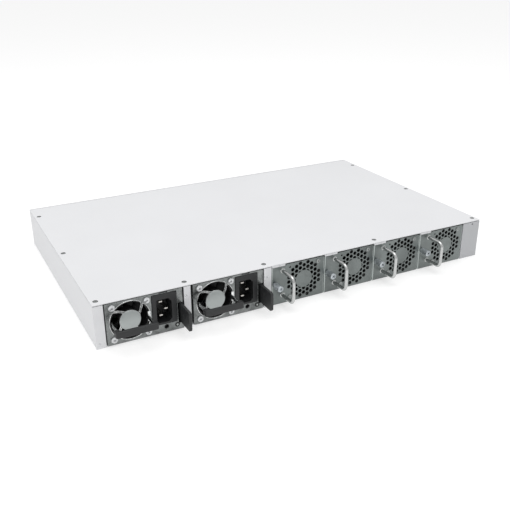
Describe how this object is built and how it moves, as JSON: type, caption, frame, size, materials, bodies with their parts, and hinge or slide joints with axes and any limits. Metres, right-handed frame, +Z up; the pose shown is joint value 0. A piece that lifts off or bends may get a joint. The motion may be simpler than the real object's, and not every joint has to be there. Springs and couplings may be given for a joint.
{
  "type": "rackmount network switch",
  "caption": "Low-profile rackmount network switch with plug-in power supplies and fan modules at the rear and pluggable transceiver ports at the front.",
  "frame": {"origin": "centre of the case's flat underside", "axes": "+X across the case towards the first power supply, +Y out of the power and fan side, +Z up"},
  "size_m": [0.44, 0.2938, 0.0436],
  "materials": {
    "white_paint": "satin",
    "galvanised_steel": "satin",
    "supply_steel": "satin",
    "port_steel": "satin",
    "bright_wire": "polished",
    "nickel": "satin",
    "black_plastic": "matte",
    "fan_plastic": "matte",
    "board_green": "satin",
    "chip_lid": "satin",
    "heatsink_aluminium": "satin",
    "light_pipe": "gloss"
  },
  "bodies": {
    "chassis": {"chassis_tray": "white_paint", "top_cover": "white_paint", "front_panel": "white_paint", "psu_bay_divider": "galvanised_steel", "fan_bay_divider": "galvanised_steel", "fan_bay_end_wall": "galvanised_steel", "power_backplane": "board_green", "fan_board": "board_green", "main_board": "board_green", "switch_chip": "chip_lid", "cpu_chip": "chip_lid", "switch_heatsink": "heatsink_aluminium", "cpu_heatsink": "heatsink_aluminium", "sfp_cage_left": "port_steel", "sfp_cage_right": "port_steel", "qsfp_cage": "port_steel", "console_jack": "port_steel", "management_jack": "port_steel", "usb_port": "port_steel", "status_light_pipe": "light_pipe"},
    "reset_button": {"reset_button": "black_plastic"},
    "psu_1": {"psu_1_case": "supply_steel", "psu_1_face": "supply_steel", "psu_1_inlet": "black_plastic", "psu_1_board": "board_green", "psu_1_handle": "bright_wire", "psu_1_grip": "black_plastic", "psu_1_fan_frame": "fan_plastic"},
    "psu_1_latch": {"psu_1_latch": "black_plastic"},
    "psu_1_rotor": {"psu_1_rotor": "fan_plastic"},
    "psu_2": {"psu_2_case": "supply_steel", "psu_2_face": "supply_steel", "psu_2_inlet": "black_plastic", "psu_2_board": "board_green", "psu_2_handle": "bright_wire", "psu_2_grip": "black_plastic", "psu_2_fan_frame": "fan_plastic"},
    "psu_2_latch": {"psu_2_latch": "black_plastic"},
    "psu_2_rotor": {"psu_2_rotor": "fan_plastic"},
    "fan_1": {"fan_1_plate": "galvanised_steel", "fan_1_handle": "bright_wire", "fan_1_fan_frame": "fan_plastic"},
    "fan_1_thumbscrew": {"fan_1_thumbscrew": "nickel"},
    "fan_1_rotor": {"fan_1_rotor": "fan_plastic"},
    "fan_2": {"fan_2_plate": "galvanised_steel", "fan_2_handle": "bright_wire", "fan_2_fan_frame": "fan_plastic"},
    "fan_2_thumbscrew": {"fan_2_thumbscrew": "nickel"},
    "fan_2_rotor": {"fan_2_rotor": "fan_plastic"},
    "fan_3": {"fan_3_plate": "galvanised_steel", "fan_3_handle": "bright_wire", "fan_3_fan_frame": "fan_plastic"},
    "fan_3_thumbscrew": {"fan_3_thumbscrew": "nickel"},
    "fan_3_rotor": {"fan_3_rotor": "fan_plastic"},
    "fan_4": {"fan_4_plate": "galvanised_steel", "fan_4_handle": "bright_wire", "fan_4_fan_frame": "fan_plastic"},
    "fan_4_thumbscrew": {"fan_4_thumbscrew": "nickel"},
    "fan_4_rotor": {"fan_4_rotor": "fan_plastic"}
  },
  "joints": [
    {"name": "reset_press", "type": "slide", "parent": "chassis", "child": "reset_button", "axis": [0, 1, 0], "range_m": [0, 0.0008], "stiffness_N_per_m": 400, "springref_m": -0.001},
    {"name": "psu_1_slide", "type": "slide", "parent": "chassis", "child": "psu_1", "axis": [0, 1, 0], "range_m": [0, 0.19]},
    {"name": "psu_1_latch_press", "type": "hinge", "parent": "psu_1", "child": "psu_1_latch", "pos_m": [0.1391, 0.104, 0.0172], "axis": [0, 0, -1], "range_deg": [0, 2.5], "stiffness_Nm_per_rad": 0.5, "springref_deg": -2.86},
    {"name": "psu_1_fan_spin", "type": "hinge", "parent": "psu_1", "child": "psu_1_rotor", "pos_m": [0.1875, 0.12, 0.0217], "axis": [0, 1, 0], "continuous": true},
    {"name": "psu_2_slide", "type": "slide", "parent": "chassis", "child": "psu_2", "axis": [0, 1, 0], "range_m": [0, 0.19]},
    {"name": "psu_2_latch_press", "type": "hinge", "parent": "psu_2", "child": "psu_2_latch", "pos_m": [0.0564, 0.104, 0.0172], "axis": [0, 0, -1], "range_deg": [0, 2.5], "stiffness_Nm_per_rad": 0.5, "springref_deg": -2.86},
    {"name": "psu_2_fan_spin", "type": "hinge", "parent": "psu_2", "child": "psu_2_rotor", "pos_m": [0.1048, 0.12, 0.0217], "axis": [0, 1, 0], "continuous": true},
    {"name": "fan_1_slide", "type": "slide", "parent": "chassis", "child": "fan_1", "axis": [0, 1, 0], "range_m": [0, 0.06]},
    {"name": "fan_1_thumbscrew_turn", "type": "hinge", "parent": "fan_1", "child": "fan_1_thumbscrew", "pos_m": [0.0414, 0.141, 0.0228], "axis": [0, 1, 0], "continuous": true},
    {"name": "fan_1_fan_spin", "type": "hinge", "parent": "fan_1", "child": "fan_1_rotor", "pos_m": [0.0085, 0.12, 0.0219], "axis": [0, 1, 0], "continuous": true},
    {"name": "fan_2_slide", "type": "slide", "parent": "chassis", "child": "fan_2", "axis": [0, 1, 0], "range_m": [0, 0.06]},
    {"name": "fan_2_thumbscrew_turn", "type": "hinge", "parent": "fan_2", "child": "fan_2_thumbscrew", "pos_m": [-0.01885, 0.141, 0.0228], "axis": [0, 1, 0], "continuous": true},
    {"name": "fan_2_fan_spin", "type": "hinge", "parent": "fan_2", "child": "fan_2_rotor", "pos_m": [-0.05175, 0.12, 0.0219], "axis": [0, 1, 0], "continuous": true},
    {"name": "fan_3_slide", "type": "slide", "parent": "chassis", "child": "fan_3", "axis": [0, 1, 0], "range_m": [0, 0.06]},
    {"name": "fan_3_thumbscrew_turn", "type": "hinge", "parent": "fan_3", "child": "fan_3_thumbscrew", "pos_m": [-0.0791, 0.141, 0.0228], "axis": [0, 1, 0], "continuous": true},
    {"name": "fan_3_fan_spin", "type": "hinge", "parent": "fan_3", "child": "fan_3_rotor", "pos_m": [-0.112, 0.12, 0.0219], "axis": [0, 1, 0], "continuous": true},
    {"name": "fan_4_slide", "type": "slide", "parent": "chassis", "child": "fan_4", "axis": [0, 1, 0], "range_m": [0, 0.06]},
    {"name": "fan_4_thumbscrew_turn", "type": "hinge", "parent": "fan_4", "child": "fan_4_thumbscrew", "pos_m": [-0.13935, 0.141, 0.0228], "axis": [0, 1, 0], "continuous": true},
    {"name": "fan_4_fan_spin", "type": "hinge", "parent": "fan_4", "child": "fan_4_rotor", "pos_m": [-0.17225, 0.12, 0.0219], "axis": [0, 1, 0], "continuous": true}
  ]
}
